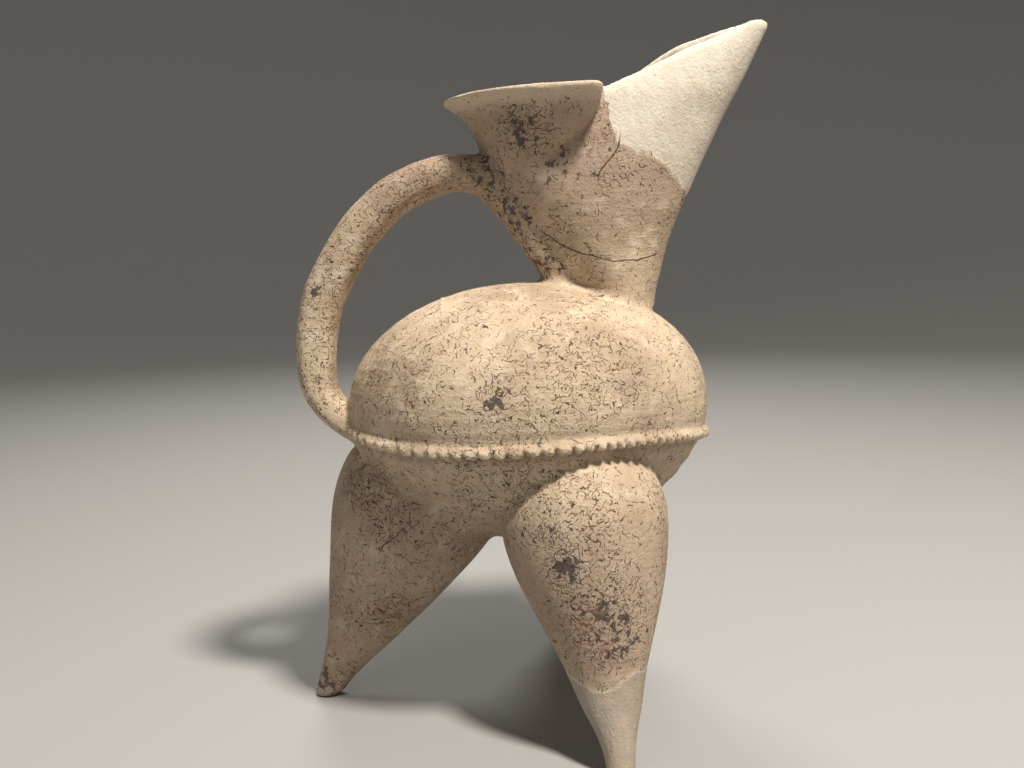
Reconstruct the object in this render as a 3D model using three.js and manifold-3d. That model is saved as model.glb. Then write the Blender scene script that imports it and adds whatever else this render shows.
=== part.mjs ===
// A pottery gui: a hollow pouring vessel of fired clay, made in one piece. It has a squashed
// oval body on three hollow pouch legs, a notched clay band around its waist, a strap handle
// behind, and a mouth that is a wide funnel at the rear and a long upturned beak in front.
// Millimetres, +Z up, the beak towards +X, the feet on the ground at Z = 0.
// The free clay forms are curves in shares of the sizes below; walls and fits are plain sizes.

import * as THREE from 'three';
import { mergeVertices } from 'three/addons/utils/BufferGeometryUtils.js';
import Module from 'manifold-3d';

const wasm = await Module();
wasm.setup();

// Body: an oval in plan, measured about its own centre line.
const bodyLength = 161;
const bodyWidth = 128;
const bellyHeight = 72; // lowest point of the belly, between the legs
const waistHeight = 131; // widest level
const shoulderHeight = 187.5; // top of the back
const clayWall = 4.5;

// Pouch legs: one under the handle and a pair in front. The front pair stand at these angles
// from the beak's line, their feet a little further round than their tops.
const frontFootAngle = 73;
const frontHipAngle = 61;
const rearFootReach = 97; // from the body's centre line to the middle of the foot
const frontFootReach = 94;
const footPadLength = 9;
const footPadWidth = 7;
const legPouchWidth = 72; // across a pouch, where it is fullest
const solidFootHeight = 24; // below this a leg is solid clay

// Neck, funnel mouth and beak.
const neckCentre = 40.5; // in front of the body's centre line
const neckWidth = 36;
const rimHeight = 268;
const mouthRear = -37; // rear edge of the funnel
const mouthFront = 34; // front face of the funnel, beside the beak
const mouthWidth = 77;
const beakTip = 110;
const tipHeight = 297;
const beakWidth = 44;
const lipWall = 4;
const lipRounding = 1.3;

// Strap handle, from the band to the back of the neck.
const handleReach = 93.5; // middle of the strap at its furthest from the body's centre line
const handleTop = 235.5; // middle of the strap at its highest
const strapWidth = 26;
const strapThickness = 18;

// Notched band, pinched from a strip of clay that runs round the body a little under its waist.
const bandLevel = 123.6;
const toothPitch = 5.4;
const bandHeight = 6.6;
const toothDepth = 3.1;
const notchDepth = 1.5;
const bandBedding = 2; // how far the strip is pressed into the wall

const bodyHalfLength = bodyLength / 2;
const bodyHalfWidth = bodyWidth / 2;

// A smooth curve through [place, value] pairs, in rising order of place.
function curve(keys) {
  const last = keys.length - 1;
  const slopeAt = (index) => {
    const before = keys[Math.max(index - 1, 0)];
    const after = keys[Math.min(index + 1, last)];
    return (after[1] - before[1]) / (after[0] - before[0]);
  };
  return (place) => {
    let index = 0;
    while (index < last - 1 && place > keys[index + 1][0]) index += 1;
    const [start, low] = keys[index];
    const [end, high] = keys[index + 1];
    const span = end - start;
    const t = THREE.MathUtils.clamp((place - start) / span, 0, 1);
    const rise = t * t * (3 - 2 * t);
    const startPull = span * slopeAt(index) * t * (1 - t) * (1 - t);
    const endPull = span * slopeAt(index + 1) * t * t * (1 - t);
    return low + (high - low) * rise + startPull - endPull;
  };
}

const mix = THREE.MathUtils.lerp;

// Whole numbers 0 .. count as shares 0 .. 1.
function shares(count) {
  return Array.from({ length: count + 1 }, (_, index) => index / count);
}

// One closed ring of points, from a function of the angle.
function ringOf(segments, pointAt) {
  return Array.from({ length: segments }, (_, index) => pointAt((index / segments) * 2 * Math.PI));
}

// Closed solid through a stack of rings, with a fan over each end.
function loft(rings) {
  const count = rings[0].length;
  const points = rings.flat();
  const faces = [];
  for (let row = 0; row < rings.length - 1; row += 1) {
    for (let index = 0; index < count; index += 1) {
      const a = row * count + index;
      const b = row * count + ((index + 1) % count);
      faces.push(a, b, b + count, a, b + count, a + count);
    }
  }
  const middle = (ring) => ring.reduce((sum, point) => sum.add(point), new THREE.Vector3()).divideScalar(count);
  const firstMiddle = points.push(middle(rings[0])) - 1;
  const lastMiddle = points.push(middle(rings[rings.length - 1])) - 1;
  const lastRow = (rings.length - 1) * count;
  for (let index = 0; index < count; index += 1) {
    const next = (index + 1) % count;
    faces.push(firstMiddle, next, index);
    faces.push(lastMiddle, lastRow + index, lastRow + next);
  }
  return solid(points, faces);
}

// Manifold solid from points and triangles, turned so that its faces point out.
function solid(points, faces) {
  const geometry = new THREE.BufferGeometry().setFromPoints(points);
  geometry.setIndex(faces);
  const merged = mergeVertices(geometry, 1e-4);
  const vertProperties = new Float32Array(merged.attributes.position.array);
  const triVerts = new Uint32Array(merged.index.array);
  let volume = 0;
  const [a, b, c] = [new THREE.Vector3(), new THREE.Vector3(), new THREE.Vector3()];
  for (let index = 0; index < triVerts.length; index += 3) {
    a.fromArray(vertProperties, triVerts[index] * 3);
    b.fromArray(vertProperties, triVerts[index + 1] * 3);
    c.fromArray(vertProperties, triVerts[index + 2] * 3);
    volume += a.dot(b.cross(c));
  }
  if (volume < 0) {
    for (let index = 0; index < triVerts.length; index += 3) {
      [triVerts[index], triVerts[index + 1]] = [triVerts[index + 1], triVerts[index]];
    }
  }
  return new wasm.Manifold(new wasm.Mesh({ numProp: 3, vertProperties, triVerts }));
}

// The same stack of rings, moved in by a wall's thickness square to the surface.
function inset(rings, thickness) {
  const count = rings[0].length;
  return rings.map((ring, row) => ring.map((point, index) => {
    const above = rings[Math.min(row + 1, rings.length - 1)][index];
    const below = rings[Math.max(row - 1, 0)][index];
    const ahead = ring[(index + 1) % count];
    const behind = ring[(index + count - 1) % count];
    const normal = ahead.clone().sub(behind).cross(above.clone().sub(below)).normalize();
    return point.clone().addScaledVector(normal, -thickness);
  }));
}

function raised(ring, height) {
  return ring.map((point) => new THREE.Vector3(point.x, point.y, point.z + height));
}

// Oval ring: a half ellipse behind, and in front one that a larger squareness makes boxy.
function oval({ rear, middle, front, halfWidth, height, squareness = 2, segments }) {
  return ringOf(segments, (angle) => {
    const cosine = Math.cos(angle);
    const sine = Math.sin(angle);
    const power = cosine > 0 ? 2 / squareness : 1;
    const reach = cosine > 0 ? front - middle : middle - rear;
    const along = Math.sign(cosine) * Math.abs(cosine) ** power;
    const across = Math.sign(sine) * Math.abs(sine) ** power;
    return new THREE.Vector3(middle + reach * along, halfWidth * across, height);
  });
}

// Body: an ellipse in plan. Its back, breast and belly each have their own fullness.
const backFullness = 2.15;
const breastFullness = 2.35;
const bellyFullness = 1.68;
const crown = shoulderHeight - waistHeight;
const keelDepth = waistHeight - bellyHeight;

// Share of the waist's radius that is left at a level, from -1 at the belly to 1 on the back.
function bodyReach(level, angle) {
  const fullness = mix(backFullness, breastFullness, (1 + Math.cos(angle)) / 2);
  return Math.sqrt(1 - (level < 0 ? (-level) ** bellyFullness : level ** fullness));
}

function bodyRings(segments, steps) {
  const poleAngle = THREE.MathUtils.degToRad(84);
  return shares(steps).map((share) => {
    const level = Math.sin(mix(-poleAngle, poleAngle, share));
    const height = waistHeight + level * (level < 0 ? keelDepth : crown);
    return ringOf(segments, (angle) => {
      const reach = bodyReach(level, angle);
      const x = bodyHalfLength * reach * Math.cos(angle);
      return new THREE.Vector3(x, bodyHalfWidth * reach * Math.sin(angle), height);
    });
  });
}

// Radius of the body's waist in a direction from its centre line.
function waistRadius(angle) {
  return 1 / Math.hypot(Math.cos(angle) / bodyHalfLength, Math.sin(angle) / bodyHalfWidth);
}

// Leg curves, over the height from the ground to just under the band.
const legTop = bandLevel - bandHeight;
const outerLine = curve([
  [0, 1], [0.08, 0.88], [0.19, 0.73], [0.31, 0.64], [0.55, 0.545], [0.78, 0.42], [0.9, 0.235], [1, -0.06],
]);
const innerLine = curve([
  [0, 0.93], [0.08, 0.85], [0.34, 0.505], [0.6, 0.205], [0.75, 0.12], [0.85, 0.22], [1, 0.6],
]);
const legWidth = curve([
  [0.03, 0.16], [0.07, 0.175], [0.12, 0.225], [0.2, 0.345], [0.31, 0.475], [0.44, 0.67], [0.58, 0.86],
  [0.7, 0.955], [0.78, 0.96], [0.84, 0.9], [0.9, 0.77], [0.95, 0.56], [1, 0.25],
]);
const toeRise = 3; // height over which the foot rounds out from its worn pad

function legRings({ footAngle, hipAngle, footReach, from, segments, steps }) {
  const footOuter = footReach + footPadLength / 2 + toeRise / 3;
  return shares(steps).map((step) => {
    const share = from + (1 - from) * step ** 1.25;
    const height = share * legTop;
    const angle = mix(footAngle, hipAngle, share);
    const outer = mix(waistRadius(angle), footOuter, outerLine(share));
    const inner = footReach * innerLine(share);
    const round = Math.sqrt(THREE.MathUtils.clamp(height / toeRise, 0, 1));
    const halfLength = mix(footPadLength / 2, (outer - inner) / 2, round);
    const fullWidth = (legPouchWidth / 2) * legWidth(Math.max(share, 0.03));
    const halfWidth = mix(footPadWidth / 2, fullWidth, round);
    const middle = mix(footReach, (outer + inner) / 2, round);
    return ringOf(segments, (turn) => {
      const point = new THREE.Vector3(middle + halfLength * Math.cos(turn), halfWidth * Math.sin(turn), height);
      return point.applyAxisAngle(new THREE.Vector3(0, 0, 1), angle);
    });
  });
}

// The line of the neck's back, from its foot on the body up to the mouth's rear edge.
const neckHeight = shoulderHeight - clayWall;
const neckRear = neckCentre - neckWidth / 2;
const neckFront = neckCentre + neckWidth / 2;
const backLine = curve([
  [-0.2, -0.02], [0, 0], [0.04, 0.04], [0.16, 0.185], [0.3, 0.32], [0.44, 0.432], [0.57, 0.541],
  [0.68, 0.634], [0.78, 0.718], [0.86, 0.787], [0.915, 0.852], [0.94, 0.916], [0.97, 0.975], [1, 1],
]);

function neckBack(height) {
  return mix(neckRear, mouthRear, backLine((height - neckHeight) / (rimHeight - neckHeight)));
}

// Neck and beak: ovals that rise from the body's back and run forward and up to the tip,
// with a rounded keel in front. Heights are shares from the neck's foot to the tip.
const neckRoot = 0.06; // sunk in the body
const keelLine = curve([
  [-0.1, -0.02], [0, 0], [0.08, 0.045], [0.2, 0.12], [0.4, 0.316], [0.64, 0.58], [0.82, 0.8], [1, 1], [1.1, 1.12],
]);
const beakBack = curve([
  [0.4, -0.42], [0.55, -0.42], [0.65, -0.39], [0.75, -0.31], [0.79, -0.22], [0.86, -0.03], [0.92, 0.2],
  [1, 0.47], [1.07, 0.69], [1.1, 0.8],
]);
const beakMiddle = curve([
  [-0.1, 0.2], [0.03, 0.2], [0.22, 0.1], [0.36, 0], [0.45, -0.08], [0.55, -0.1], [0.65, -0.03], [0.75, 0.14],
  [0.86, 0.37], [0.92, 0.54], [1, 0.71], [1.1, 0.87],
]);
const beakFullness = curve([
  [-0.1, 0.8], [0.02, 0.82], [0.2, 0.89], [0.32, 0.96], [0.5, 1], [0.62, 0.96], [0.72, 0.89],
  [0.78, 0.81], [0.86, 0.68], [0.93, 0.52], [1, 0.36], [1.07, 0.23], [1.1, 0.18],
]);

function beakRings(segments, steps) {
  return shares(steps).map((step) => {
    const share = mix(-neckRoot, 1.09, step);
    const height = mix(neckHeight - 2, tipHeight, share);
    return oval({
      rear: Math.max(neckBack(height), mix(neckRear, beakTip, beakBack(share))),
      middle: mix(neckRear, beakTip, beakMiddle(share)),
      front: mix(neckFront, beakTip, keelLine(share)),
      halfWidth: (beakWidth / 2) * beakFullness(share),
      height,
      segments,
    });
  });
}

// Funnel: it starts inside the neck and flares back and out, round behind, and folded in
// beside the beak. Heights are shares from the neck's foot to the rim.
const funnelRoot = 0.4;
const flareOut = curve([
  [0.4, -0.25], [0.46, -0.1], [0.53, 0.04], [0.6, 0.18], [0.67, 0.32], [0.73, 0.43], [0.8, 0.56],
  [0.87, 0.7], [0.94, 0.86], [1, 1],
]);
const foldLine = curve([
  [0.4, 0.35], [0.5, 0.33], [0.6, 0.34], [0.66, 0.375], [0.71, 0.46], [0.76, 0.63], [0.81, 0.77],
  [0.87, 0.89], [0.93, 0.963], [1, 1],
]);
const foldSquareness = curve([[0.4, 2], [0.6, 3], [0.7, 4], [0.86, 6], [1, 8]]);

function funnelRings(segments, steps) {
  return shares(steps).map((step) => {
    const share = mix(funnelRoot, 1, step);
    const height = mix(neckHeight, rimHeight, share);
    const rear = neckBack(height) + lipWall * (1 - THREE.MathUtils.smoothstep(share, 0.45, 0.62));
    const front = mix(neckRear - neckWidth / 2, mouthFront, foldLine(share));
    return oval({
      rear,
      middle: mix(rear, front, 0.62),
      front,
      halfWidth: mix(neckWidth, mouthWidth, flareOut(share)) / 2,
      height,
      squareness: foldSquareness(share),
      segments,
    });
  });
}

// Everything above the beak's open edges: a wedge whose underside follows the slit, and
// leans so that the far wall stands a little higher than the near one.
const slitHeight = curve([
  [-0.7, 0], [0, 0], [0.05, 0.05], [0.22, 0.28], [0.47, 0.64], [0.61, 0.77], [0.83, 0.97], [0.91, 1.01],
  [0.97, 0.99], [1.01, 0.91], [1.04, 0.72], [1.3, 0.5],
]);
const slitLean = curve([
  [-0.7, 0], [0.05, 0], [0.22, 0.08], [0.47, 0.24], [0.7, 0.24], [0.9, 0.08], [1.04, 0], [1.3, 0],
]);

function slitCutter() {
  const top = tipHeight + beakWidth;
  return loft(shares(24).map((step) => {
    const share = mix(-0.7, 1.3, step);
    const x = mix(mouthFront, beakTip, share);
    const edge = mix(rimHeight, tipHeight, slitHeight(share));
    const across = [-1, -0.4, 0, 0.4, 1].map((side) => side * beakWidth);
    const under = across.map((y) => new THREE.Vector3(x, y, edge + slitLean(share) * y));
    return [...under, new THREE.Vector3(x, beakWidth, top), new THREE.Vector3(x, -beakWidth, top)];
  }));
}

// Strap handle: a soft-cornered strap along a curve in the vessel's middle plane.
function handle() {
  const root = -bodyHalfLength;
  const out = -handleReach;
  const climb = handleTop - bandLevel;
  const onNeck = (share, depth) => {
    const height = mix(neckHeight, rimHeight, share);
    return [neckBack(height) - depth, height];
  };
  const path = new THREE.CatmullRomCurve3([
    [root + 8, bandLevel - 0.5],
    [root, bandLevel + climb * 0.035],
    [mix(root, out, 0.62), bandLevel + climb * 0.1],
    [mix(root, out, 0.96), bandLevel + climb * 0.19],
    [out, bandLevel + climb * 0.33],
    [mix(out, neckRear, 0.01), bandLevel + climb * 0.42],
    [mix(out, neckRear, 0.05), bandLevel + climb * 0.56],
    [mix(out, neckRear, 0.165), bandLevel + climb * 0.76],
    [mix(out, neckRear, 0.25), bandLevel + climb * 0.855],
    [mix(out, neckRear, 0.32), bandLevel + climb * 0.916],
    [mix(out, neckRear, 0.39), bandLevel + climb * 0.956],
    [mix(out, neckRear, 0.455), bandLevel + climb * 0.981],
    [mix(out, neckRear, 0.52), handleTop],
    [mix(out, neckRear, 0.585), handleTop],
    [mix(out, neckRear, 0.645), bandLevel + climb * 0.979],
    onNeck(0.52, 4.5),
    onNeck(0.4, 3),
    onNeck(0.28, 2.5),
    onNeck(0.17, 3),
    onNeck(0.07, 3),
    [neckRear, neckHeight],
    [neckRear + clayWall, neckHeight - 4],
  ].map(([x, z]) => new THREE.Vector3(x, 0, z)), false, 'centripetal');
  const thickness = curve([
    [0, 0.7], [0.08, 0.76], [0.16, 0.9], [0.3, 1.03], [0.5, 1], [0.62, 0.94], [0.7, 0.82], [0.78, 0.68], [1, 0.4],
  ]);
  const width = curve([[0, 1.15], [0.1, 1.04], [0.25, 1], [0.7, 1], [0.85, 0.92], [1, 0.7]]);
  return loft(shares(24).map((share) => {
    const centre = path.getPointAt(share);
    const tangent = path.getTangentAt(share);
    const outward = new THREE.Vector3(-tangent.z, 0, tangent.x);
    return ringOf(10, (turn) => {
      const soften = (value) => Math.sign(value) * Math.abs(value) ** 0.72;
      const point = centre.clone();
      point.addScaledVector(outward, soften(Math.cos(turn)) * (strapThickness / 2) * thickness(share));
      point.y = soften(Math.sin(turn)) * (strapWidth / 2) * width(share);
      return point;
    });
  }));
}

// Notched band: a strip laid on by eye, so that its level sways a little, and pinched into teeth.
const bandSlope = 1.45; // higher behind than in front
const bandRipple = 1.9;

function notchedBand() {
  const perimeter = Math.PI * Math.sqrt((bodyLength ** 2 + bodyWidth ** 2) / 2);
  const teeth = Math.round(perimeter / toothPitch);
  const stations = ringOf(teeth * 2, (angle) => {
    const height = bandLevel - bandSlope * Math.cos(angle) - bandRipple * Math.cos(3 * angle);
    const reach = bodyReach((height - waistHeight) / keelDepth, angle);
    const x = bodyHalfLength * reach * Math.cos(angle);
    const on = new THREE.Vector3(x, bodyHalfWidth * reach * Math.sin(angle), height);
    const out = new THREE.Vector3(Math.cos(angle) / bodyHalfLength, Math.sin(angle) / bodyHalfWidth, 0);
    return { on, out: out.normalize() };
  });
  const rings = stations.map(({ on, out }, index) => {
    const proud = index % 2 ? notchDepth : toothDepth;
    const crest = index % 2 ? 0.1 : 0.22;
    const at = (depth, share) => on.clone().addScaledVector(out, depth).setZ(on.z + share * bandHeight);
    return [at(-bandBedding, -0.5), at(proud, -crest), at(proud, crest), at(-bandBedding, 0.5)];
  });
  return hoop(rings);
}

// Closed hoop through rings of points, the last joined to the first.
function hoop(rings) {
  const count = rings[0].length;
  const points = rings.flat();
  const faces = [];
  rings.forEach((_, row) => {
    const nextRow = (row + 1) % rings.length;
    for (let index = 0; index < count; index += 1) {
      const next = (index + 1) % count;
      const a = row * count + index;
      const b = row * count + next;
      const c = nextRow * count + next;
      const d = nextRow * count + index;
      faces.push(a, b, c, a, c, d);
    }
  });
  return solid(points, faces);
}

function withRoundedLip(rings) {
  const rim = rings[rings.length - 1];
  const top = inset([rings[rings.length - 2], rim], lipRounding)[1];
  const below = raised(rim, -lipRounding);
  return [...rings.slice(0, -1), below, top.map((point) => point.clone().setZ(rimHeight))];
}

const frontFoot = THREE.MathUtils.degToRad(frontFootAngle);
const frontHip = THREE.MathUtils.degToRad(frontHipAngle);
const legs = [
  { footAngle: Math.PI, hipAngle: Math.PI, footReach: rearFootReach },
  { footAngle: frontFoot, hipAngle: frontHip, footReach: frontFootReach },
  { footAngle: -frontFoot, hipAngle: -frontHip, footReach: frontFootReach },
];

function outside() {
  let form = loft(bodyRings(40, 11));
  legs.forEach((leg) => {
    form = form.add(loft(legRings({ ...leg, from: 0, segments: 20, steps: 10 })));
  });
  form = form.add(loft(withRoundedLip(funnelRings(36, 6))));
  form = form.add(loft(beakRings(28, 12)).subtract(slitCutter()));
  return form.add(handle()).add(notchedBand());
}

function inside() {
  let space = loft(inset(bodyRings(24, 8), clayWall));
  legs.forEach((leg) => {
    const rings = inset(legRings({ ...leg, from: solidFootHeight / legTop, segments: 12, steps: 6 }), clayWall);
    space = space.add(loft(rings));
  });
  const funnel = inset(funnelRings(24, 5), lipWall);
  space = space.add(loft([...funnel, raised(funnel[funnel.length - 1], 3 * lipWall)]));
  const beak = inset(beakRings(20, 10), lipWall);
  return space.add(loft([raised(beak[0], -3 * clayWall), ...beak]));
}

const clay = new THREE.MeshStandardMaterial({ color: 0xc9b093, roughness: 0.92, metalness: 0 });

function vessel() {
  const mesh = outside().subtract(inside()).getMesh();
  const geometry = new THREE.BufferGeometry();
  geometry.setAttribute('position', new THREE.BufferAttribute(mesh.vertProperties, 3));
  geometry.setIndex(new THREE.BufferAttribute(mesh.triVerts, 1));
  geometry.computeBoundingBox();
  const centre = geometry.boundingBox.getCenter(new THREE.Vector3());
  geometry.translate(-centre.x, -centre.y, -geometry.boundingBox.min.z);
  const piece = new THREE.Mesh(geometry, clay);
  piece.name = 'gui_vessel';
  return piece;
}

const group = new THREE.Group();
group.add(vessel());

export default group;
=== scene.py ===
# A pottery gui: the fired clay of a hollow pouring vessel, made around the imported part.
# The clay is modelled as fields of distance on a grid, in millimetres from the body's centre
# line, with +Z up, the beak towards +X and the side that the camera sees towards -Y.

import math

import bmesh
import bpy
import numpy as np
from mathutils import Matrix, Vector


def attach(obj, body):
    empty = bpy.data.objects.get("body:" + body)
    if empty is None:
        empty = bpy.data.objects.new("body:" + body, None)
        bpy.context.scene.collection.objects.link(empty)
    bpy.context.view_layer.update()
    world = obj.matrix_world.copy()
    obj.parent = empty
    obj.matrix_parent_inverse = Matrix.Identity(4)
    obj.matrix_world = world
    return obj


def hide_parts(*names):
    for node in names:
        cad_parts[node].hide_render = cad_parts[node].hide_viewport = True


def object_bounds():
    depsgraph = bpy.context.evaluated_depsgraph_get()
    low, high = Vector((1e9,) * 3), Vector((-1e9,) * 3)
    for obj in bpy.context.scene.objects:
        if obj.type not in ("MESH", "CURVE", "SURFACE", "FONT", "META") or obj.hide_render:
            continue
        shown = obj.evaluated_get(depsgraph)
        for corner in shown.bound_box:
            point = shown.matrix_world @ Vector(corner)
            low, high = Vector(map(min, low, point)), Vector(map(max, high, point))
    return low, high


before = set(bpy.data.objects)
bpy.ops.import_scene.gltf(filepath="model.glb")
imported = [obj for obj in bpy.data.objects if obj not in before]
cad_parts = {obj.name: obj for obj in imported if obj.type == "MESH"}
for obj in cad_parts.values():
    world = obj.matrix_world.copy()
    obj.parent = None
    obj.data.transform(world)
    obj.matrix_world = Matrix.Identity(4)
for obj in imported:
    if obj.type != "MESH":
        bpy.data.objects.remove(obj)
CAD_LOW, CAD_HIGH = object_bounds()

import openvdb
from mathutils import Matrix, Vector

METRES = 0.001  # one millimetre

# Body, an oval in plan.
BODY_LENGTH = 161
BODY_WIDTH = 128
BELLY_HEIGHT = 72
WAIST_HEIGHT = 131
SHOULDER_HEIGHT = 187.5
CLAY_WALL = 4.5
BACK_FULLNESS = 2.15  # of the upper outline: 2 is an ellipse, more is squarer
BREAST_FULLNESS = 2.35
BELLY_FULLNESS = 1.68
NECK_FILLET = 2.8
LEG_FILLET = 4

# Pouch legs.
FRONT_FOOT_ANGLE = math.radians(73)
FRONT_HIP_ANGLE = math.radians(61)
REAR_FOOT_REACH = 97
FRONT_FOOT_REACH = 94
FOOT_PAD_LENGTH = 9
FOOT_PAD_WIDTH = 7
LEG_POUCH_WIDTH = 72
SOLID_FOOT_HEIGHT = 24
TOE_RISE = 3

# Neck, funnel mouth and beak.
NECK_CENTRE = 40.5
NECK_WIDTH = 36
RIM_HEIGHT = 268
MOUTH_REAR = -37
MOUTH_FRONT = 34
MOUTH_WIDTH = 77
BEAK_TIP = 110
TIP_HEIGHT = 297
BEAK_WIDTH = 44
LIP_WALL = 4
RIM_DROP = 2.4  # how much lower the rim is behind than beside the beak

# Strap handle.
HANDLE_REACH = 93.5
HANDLE_TOP = 235.5
STRAP_WIDTH = 26
STRAP_THICKNESS = 18
STRAP_OUTSIDE = 102  # from the body's centre line to the strap's outer face

# Notched band.
BAND_LEVEL = 123.6
BAND_HEIGHT = 6.6
BAND_DEPTH = 3.4
NOTCH_GROUND = 0.9  # what is left of the band's depth in a notch
BAND_SLOPE = 1.45  # higher behind than in front
BAND_RIPPLE = 1.9
REAR_TOOTH_PITCH = 6.6
FRONT_TOOTH_PITCH = 4.2

HALF_LENGTH = BODY_LENGTH / 2
HALF_WIDTH = BODY_WIDTH / 2
LEG_TOP = BAND_LEVEL - BAND_HEIGHT
NECK_HEIGHT = SHOULDER_HEIGHT - CLAY_WALL
NECK_REAR = NECK_CENTRE - NECK_WIDTH / 2
NECK_FRONT = NECK_CENTRE + NECK_WIDTH / 2

# Where the body's centre line stands in the frame.
CENTRE_LINE = CAD_LOW.x / METRES + STRAP_OUTSIDE

GRID_STEP = 1.0
TRIANGLES = 190000
FAR = 30.0  # stands for any distance outside a form's own block


def mix(start, end, share):
    return start + (end - start) * share


def smooth(low, high, value):
    """0 below low, 1 above high and a soft step between."""
    share = np.clip((value - low) / (high - low), 0, 1)
    return share * share * (3 - 2 * share)


def curve(keys):
    """A smooth curve through (place, value) pairs, in rising order of place."""
    places, values = np.array(keys, float).T
    slopes = np.empty_like(values)
    slopes[1:-1] = (values[2:] - values[:-2]) / (places[2:] - places[:-2])
    slopes[0] = (values[1] - values[0]) / (places[1] - places[0])
    slopes[-1] = (values[-1] - values[-2]) / (places[-1] - places[-2])

    def at(place):
        index = np.clip(np.searchsorted(places, place, side="right") - 1, 0, len(places) - 2)
        span = places[index + 1] - places[index]
        share = np.clip((place - places[index]) / span, 0, 1)
        rise = share * share * (3 - 2 * share)
        start_pull = span * slopes[index] * share * (1 - share) ** 2
        end_pull = span * slopes[index + 1] * share ** 2 * (1 - share)
        return mix(values[index], values[index + 1], rise) + start_pull - end_pull

    return at


class Block:
    """Part of the sampling grid: its slices of the whole, and its coordinates."""

    def __init__(self, axes, low, high):
        self.where = tuple(
            slice(np.searchsorted(axis, start), np.searchsorted(axis, end))
            for axis, start, end in zip(axes, low, high)
        )
        x, y, z = (axis[part] for axis, part in zip(axes, self.where))
        self.x = x[:, None, None]
        self.y = y[None, :, None]
        self.z = z[None, None, :]


def distance(field):
    """Turns a field that is 0 on a surface into millimetres from that surface."""
    steepness = np.sqrt(sum(part * part for part in np.gradient(field, GRID_STEP)))
    return field / np.maximum(steepness, 1 / BODY_LENGTH)


def joined(first, second, softness):
    """The union of two forms, with a fillet."""
    overlap = np.maximum(softness - np.abs(first - second), 0)
    return np.minimum(first, second) - overlap * overlap / (4 * softness)


def common(first, second, softness):
    """What two forms share, with a rounded edge."""
    return -joined(-first, -second, softness)


def body(block):
    """The body, an oval in plan and fuller above its waist than below."""
    across = np.hypot(block.x / HALF_LENGTH, block.y / HALF_WIDTH)
    forward = (block.x / HALF_LENGTH) / np.maximum(across, 1e-3)
    above = (block.z - WAIST_HEIGHT) / (SHOULDER_HEIGHT - WAIST_HEIGHT)
    below = (WAIST_HEIGHT - block.z) / (WAIST_HEIGHT - BELLY_HEIGHT)
    fullness = mix(BACK_FULLNESS, BREAST_FULLNESS, (1 + forward) / 2)
    upper = np.maximum(above, 0) ** fullness
    lower = np.maximum(below, 0) ** BELLY_FULLNESS
    rise = np.where(above > 0, upper, lower)
    return distance(np.sqrt(across ** 2 + rise) - 1)


# A leg's outlines against its height, as shares of its reach and of its pouch's width.
OUTER_LINE = curve([
    (0, 1), (0.08, 0.88), (0.19, 0.73), (0.31, 0.64), (0.55, 0.545), (0.78, 0.42), (0.9, 0.235), (1, -0.06),
])
INNER_LINE = curve([
    (0, 0.93), (0.08, 0.85), (0.34, 0.505), (0.6, 0.205), (0.75, 0.12), (0.85, 0.22), (1, 0.6),
])
LEG_WIDTH = curve([
    (0.03, 0.16), (0.07, 0.175), (0.12, 0.225), (0.2, 0.345), (0.31, 0.475), (0.44, 0.67), (0.58, 0.86),
    (0.7, 0.955), (0.78, 0.96), (0.84, 0.9), (0.9, 0.77), (0.95, 0.56), (1, 0.25),
])


def leg(block, foot_angle, hip_angle, foot_reach):
    """A pouch that narrows from the waist down to a foot pad."""
    share = block.z / LEG_TOP
    angle = mix(foot_angle, hip_angle, np.clip(share, 0, 1))
    waist_radius = 1 / np.hypot(np.cos(angle) / HALF_LENGTH, np.sin(angle) / HALF_WIDTH)
    foot_outer = foot_reach + FOOT_PAD_LENGTH / 2 + TOE_RISE / 3
    outer = mix(waist_radius, foot_outer, OUTER_LINE(share))
    inner = foot_reach * INNER_LINE(share)
    rounding = np.sqrt(np.clip(block.z / TOE_RISE, 0, 1))
    half_length = mix(FOOT_PAD_LENGTH / 2, (outer - inner) / 2, rounding)
    full_width = LEG_POUCH_WIDTH / 2 * LEG_WIDTH(np.maximum(share, 0.03))
    half_width = mix(FOOT_PAD_WIDTH / 2, full_width, rounding)
    middle = mix(foot_reach, (outer + inner) / 2, rounding)
    along = block.x * np.cos(angle) + block.y * np.sin(angle) - middle
    aside = block.y * np.cos(angle) - block.x * np.sin(angle)
    form = distance(np.hypot(along / half_length, aside / half_width) - 1)
    return common(form, block.z - LEG_TOP, 4)


# How far the neck's back has run out to the mouth's rear edge, against its height.
BACK_LINE = curve([
    (-0.2, -0.02), (0, 0), (0.04, 0.04), (0.16, 0.185), (0.3, 0.32), (0.44, 0.432), (0.57, 0.541),
    (0.68, 0.634), (0.78, 0.718), (0.86, 0.787), (0.915, 0.852), (0.94, 0.916), (0.97, 0.975), (1, 1),
])


def neck_back(height):
    """The line of the neck's back, up to the mouth's rear edge."""
    return mix(NECK_REAR, MOUTH_REAR, BACK_LINE((height - NECK_HEIGHT) / (RIM_HEIGHT - NECK_HEIGHT)))


def oval(block, rear, middle, front, half_width, squareness=2.0):
    """A half ellipse behind, and in front one that a larger squareness makes boxy."""
    ahead = np.maximum(block.x - middle, 0) / (front - middle)
    behind = np.maximum(middle - block.x, 0) / (middle - rear)
    side = np.abs(block.y) / half_width
    boxy = (ahead ** squareness + side ** squareness) ** (1 / squareness)
    return distance(np.where(block.x > middle, boxy, np.hypot(behind, side)) - 1)


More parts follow.
